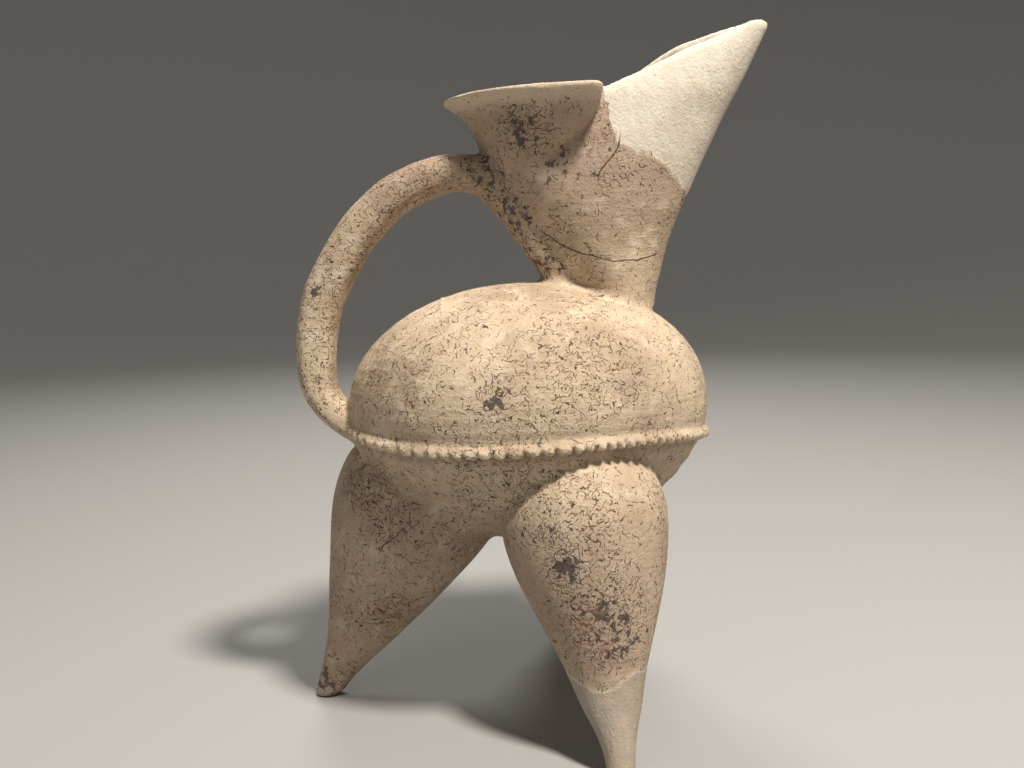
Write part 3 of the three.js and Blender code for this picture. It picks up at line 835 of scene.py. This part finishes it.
def clay_material():
    """Unglazed fired clay: pale, with dark root marks, soot, dirt and two plaster mends, and with painted
    shade in hollows, under the band, low down and on the neck, and painted highlights on edges and the lip.
    """
    material = bpy.data.materials.new("fired_clay")
    material.use_nodes = True
    tree = material.node_tree
    shader = tree.nodes["Principled BSDF"]
    n = Nodes(tree)
    place = n.vector("SCALE", n.add("ShaderNodeTexCoord", {}, "Object"))
    place.node.inputs["Scale"].default_value = 1 / METRES
    wobble = n.add("ShaderNodeTexNoise", {"Vector": place, "Scale": 0.3, "Detail": 2.0}, "Color")
    sway = n.vector("MULTIPLY", n.vector("SUBTRACT", wobble, (0.5, 0.5, 0.5)), (5, 5, 5))
    bent = n.vector("ADD", place, sway)
    scratched = n.attribute("scratched")
    sooted = n.attribute("sooted")
    inner = n.attribute("inner")
    outer = n.maths("SUBTRACT", 1.0, inner)
    edge = n.plus(n.attribute("mended"), n.times(n.maths("SUBTRACT", n.noise(place, 6, 3.0), 0.5), 5.0))
    mended = n.step(-0.25, 0.25, edge)
    bare = n.maths("SUBTRACT", 1.0, n.times(mended, 0.93))

    broad = n.noise(place, 38, 3.0)
    cloudy = n.noise(place, 9, 4.0)
    grain = n.noise(place, 1.1, 3.0)
    fine = n.noise(place, 0.45, 2.0)
    wiped = n.noise(n.squashed(place, (0.12, 0.12, 1.0)), 2.2, 2.0)
    brushed = n.noise(n.squashed(bent, (0.6, 0.6, 0.16)), 2.0, 3.0)

    colour = n.tint(n.step(0.38, 0.66, broad), CREAM, TAN)
    colour = n.tint(n.times(n.step(0.5, 0.72, cloudy), 0.6), colour, PALE)
    colour = n.tint(n.times(n.step(0.52, 0.3, n.noise(bent, 5, 3.0)), 0.35), colour, TAN)
    colour = n.tint(n.times(n.step(0.5, 0.75, wiped), 0.16), colour, PALE)
    # Painted shade: hollows and creases, such as under the band's teeth, are darkened by their curvature.
    hollow = n.step(0.02, 0.30, n.attribute("hollowness"))
    colour = n.tint(n.times(hollow, 0.55), colour, DIRT_AND_SHADE)
    # Painted highlight: edges and crests, such as the rim and the band's teeth, are made paler.
    crest_highlight = n.step(-0.08, -0.35, n.attribute("hollowness"))
    colour = n.tint(n.times(crest_highlight, 0.36), colour, PALE)

    # Painted shade: below the band, where the body shades its lower part and the legs, the clay is made
    # darker and browner.
    low = n.step(122.0, 84.0, n.attribute("height"))
    colour = n.tint(n.times(low, 0.42), colour, SHADE_BROWN)
    # Painted shade: the neck and funnel under the flaring mouth are made darker and browner.
    head = n.step(190.0, 238.0, n.attribute("height"))
    colour = n.tint(n.times(head, 0.42), colour, SHADE_BROWN)
    colour = n.tint(n.times(n.attribute("rosy"), 0.6), colour, ROSE)
    # Painted highlight: the flared lip below the rim is made paler.
    colour = n.tint(n.times(n.attribute("lip"), 0.5), colour, PALE)
    # Painted shadow: a patchy dark strip just under the band, where the band shades the wall.
    colour = n.tint(n.times(n.times(n.step(0.35, 0.6, cloudy), n.attribute("under_band_shadow")), 0.5), colour, DIRT_AND_SHADE)
    colour = n.tint(n.times(n.step(0.35, 0.7, grain), 0.16), colour, DIRT_AND_SHADE)
    colour = n.tint(n.times(n.step(0.4, 0.7, fine), 0.12), colour, PALE)
    blotch = n.plus(n.noise(bent, 3.4, 5.0), n.times(sooted, 0.30))
    soot = n.step(0.68, 0.735, blotch)
    haze = n.times(n.times(n.step(0.35, 0.65, cloudy), sooted), 0.45)
    colour = n.tint(n.times(haze, bare), colour, (0.235, 0.185, 0.160, 1))
    colour = n.tint(n.times(n.times(soot, 0.92), bare), colour, SOOT)
    rust = n.times(n.step(0.46, 0.62, n.noise(bent, 3.2, 3.0)), n.attribute("reddened"))
    colour = n.tint(n.times(rust, bare), colour, RUST)

    mend_colour = n.tint(n.step(90.0, 60.0, n.attribute("height")), PLASTER, FOOT_PLASTER)
    mend_colour = n.tint(n.times(n.step(0.46, 0.7, brushed), 0.18), mend_colour, CREAM)
    mend_colour = n.tint(n.times(n.step(0.45, 0.66, broad), 0.4), mend_colour, TAN)
    mend_colour = n.tint(n.times(n.step(0.55, 0.7, cloudy), 0.25), mend_colour, CREAM)
    colour = n.tint(mended, colour, mend_colour)
    rim = n.times(n.step(1.3, 0.0, n.maths("ABSOLUTE", edge)), outer)
    colour = n.tint(n.times(rim, 0.45), colour, PALE)

    patchy = n.step(0.42, 0.62, n.noise(place, 24, 2.0))
    density = n.plus(n.times(scratched, 0.8), n.plus(n.times(patchy, 0.38), 0.18))
    density = n.times(n.times(density, bare), n.maths("SUBTRACT", 1.0, n.times(n.attribute("lip"), 0.8)))
    short = n.strokes(bent, 2.4, 1.35, 0.21, density)
    long = n.strokes(n.vector("ADD", bent, (31.7, 12.3, 7.9)), 4.4, 3.1, 0.27, density)
    tiny = n.strokes(n.vector("ADD", bent, (3.1, 47.3, 17.9)), 1.5, 0.75, 0.2, n.times(density, 0.7))
    rooted = n.times(n.step(0.62, 0.9, scratched), n.step(0.46, 0.56, n.noise(place, 11, 1.0)))
    roots = n.root_marks(bent, 6.5, 0.0065, rooted)
    marks = n.most(n.most(short, long), n.most(tiny, roots))
    marks = n.times(marks, n.step(0.25, 0.45, n.noise(place, 2.0, 1.0)))
    colour = n.tint(n.times(marks, n.times(bare, 0.95)), colour, STROKE)
    crack_sway = n.times(n.maths("SUBTRACT", n.noise(place, 5, 3.0), 0.5), 3.0)
    crack = n.plus(n.attribute("beside_crack"), crack_sway)
    crack = n.times(n.step(0.42, 0.12, n.maths("ABSOLUTE", crack)), n.times(n.attribute("cracked"), outer))
    colour = n.tint(n.times(crack, 0.88), colour, STROKE)
    pit = n.add("ShaderNodeTexVoronoi", {"Vector": place, "Scale": 0.22}, "Distance")
    pits = n.step(0.10, 0.04, pit)
    colour = n.tint(n.times(pits, 0.7), colour, DIRT_AND_SHADE)
    inner_colour = n.tint(n.step(0.4, 0.65, cloudy), DUST, TAN)
    colour = n.tint(n.times(n.times(inner, 0.75), bare), colour, inner_colour)
    tree.links.new(colour, shader.inputs["Base Color"])
    rough = n.plus(n.times(grain, 0.12), 0.78)
    tree.links.new(n.maths("SUBTRACT", rough, n.times(mended, 0.06)), shader.inputs["Roughness"])
    shader.inputs["Specular IOR Level"].default_value = 0.28

    height = n.plus(n.times(grain, 0.40), n.times(fine, 0.18))
    height = n.plus(height, n.times(cloudy, 0.8))
    height = n.plus(height, n.times(wiped, n.times(bare, 0.3)))
    height = n.times(height, n.maths("SUBTRACT", 1.0, n.times(mended, 0.3)))
    height = n.plus(height, n.times(n.times(brushed, mended), 0.7))
    height = n.maths("SUBTRACT", height, n.times(n.times(short, bare), 0.2))
    height = n.maths("SUBTRACT", height, n.times(crack, 0.5))
    bump = n.add("ShaderNodeBump", {"Strength": 0.85, "Distance": METRES, "Height": height})
    tree.links.new(bump, shader.inputs["Normal"])
    return material


mesh = clay_mesh()
vessel = bpy.data.objects.new("clay_vessel", mesh)
bpy.context.scene.collection.objects.link(vessel)
thin_out(vessel, TRIANGLES)
unfold(vessel.data)
mark(vessel.data)
unfold(vessel.data)
vessel.data.polygons.foreach_set("use_smooth", np.ones(len(vessel.data.polygons), bool))
vessel.data.materials.append(clay_material())
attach(vessel, "root")
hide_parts("gui_vessel")


# Camera: the photograph's view, from the vessel's right side, a little above its middle.
def camera():
    turn = math.radians(2)
    pitch = math.atan(0.119)
    roll = math.radians(1.654)
    eye = Vector((CENTRE_LINE - 22.6, -446.7, 195)) * METRES
    forward = Vector((math.sin(turn) * math.cos(pitch), math.cos(turn) * math.cos(pitch), -math.sin(pitch)))
    level = Vector((math.cos(turn), -math.sin(turn), 0))
    up = level.cross(forward)
    right = math.cos(roll) * level - math.sin(roll) * up
    up = right.cross(forward)
    data = bpy.data.cameras.new("camera")
    data.sensor_width = 36
    data.lens = 35.156
    data.clip_start = 0.01
    item = bpy.data.objects.new("camera", data)
    axes = Matrix((right, up, -forward)).transposed()
    item.matrix_world = Matrix.Translation(eye) @ axes.to_4x4()
    bpy.context.scene.collection.objects.link(item)
    bpy.context.scene.camera = item


camera()


def area_light(name, place, target, size, power, colour):
    data = bpy.data.lights.new(name, "AREA")
    data.shape = "DISK"
    data.size = size
    data.energy = power
    data.color = colour
    item = bpy.data.objects.new(name, data)
    item.location = place
    item.rotation_euler = (Vector(target) - Vector(place)).to_track_quat("-Z", "Y").to_euler()
    bpy.context.scene.collection.objects.link(item)


area_light("key", (0.38, -0.50, 1.32), (0.02, 0, 0.16), 0.2, 30, (1, 0.93, 0.84))
area_light("fill", (-1.0, -1.2, 0.6), (0, 0, 0.15), 1.1, 3.0, (1, 0.96, 0.92))
area_light("rim", (-0.1, 0.9, 1.2), (0, 0, 0.2), 0.5, 9, (1, 0.95, 0.88))


def studio():
    """A pale round floor that sweeps up into a pale wall all around."""
    bend_from, bend, top, around = 1.8, 1.2, 3.6, 96
    profile = [(0.9, 0.0)]
    for step in range(17):
        turn = math.pi / 2 * step / 16
        profile.append((bend_from + bend * math.sin(turn), bend * (1 - math.cos(turn))))
    profile.append((bend_from + bend, top))
    corners = []
    for radius, height in profile:
        for part in range(around):
            turn = 2 * math.pi * part / around
            corners.append((radius * math.cos(turn), radius * math.sin(turn), height))
    faces = []
    for row in range(len(profile) - 1):
        for part in range(around):
            after = (part + 1) % around
            inner, outer = row * around, (row + 1) * around
            faces.append((outer + part, outer + after, inner + after, inner + part))
    faces.append(tuple(range(around)))
    mesh = bpy.data.meshes.new("backdrop")
    mesh.from_pydata(corners, [], faces)
    mesh.polygons.foreach_set("use_smooth", [True] * len(faces))
    backdrop = bpy.data.objects.new("backdrop", mesh)
    paper = bpy.data.materials.new("paper")
    paper.use_nodes = True
    paper.node_tree.nodes["Principled BSDF"].inputs["Base Color"].default_value = (0.36, 0.357, 0.355, 1)
    paper.node_tree.nodes["Principled BSDF"].inputs["Roughness"].default_value = 0.9
    mesh.materials.append(paper)
    bpy.context.scene.collection.objects.link(backdrop)
    world = bpy.data.worlds.new("studio")
    world.use_nodes = True
    world.node_tree.nodes["Background"].inputs["Color"].default_value = (1.0, 0.98, 0.95, 1)
    world.node_tree.nodes["Background"].inputs["Strength"].default_value = 0.2
    bpy.context.scene.world = world
    bpy.context.scene.view_settings.view_transform = "Standard"


studio()
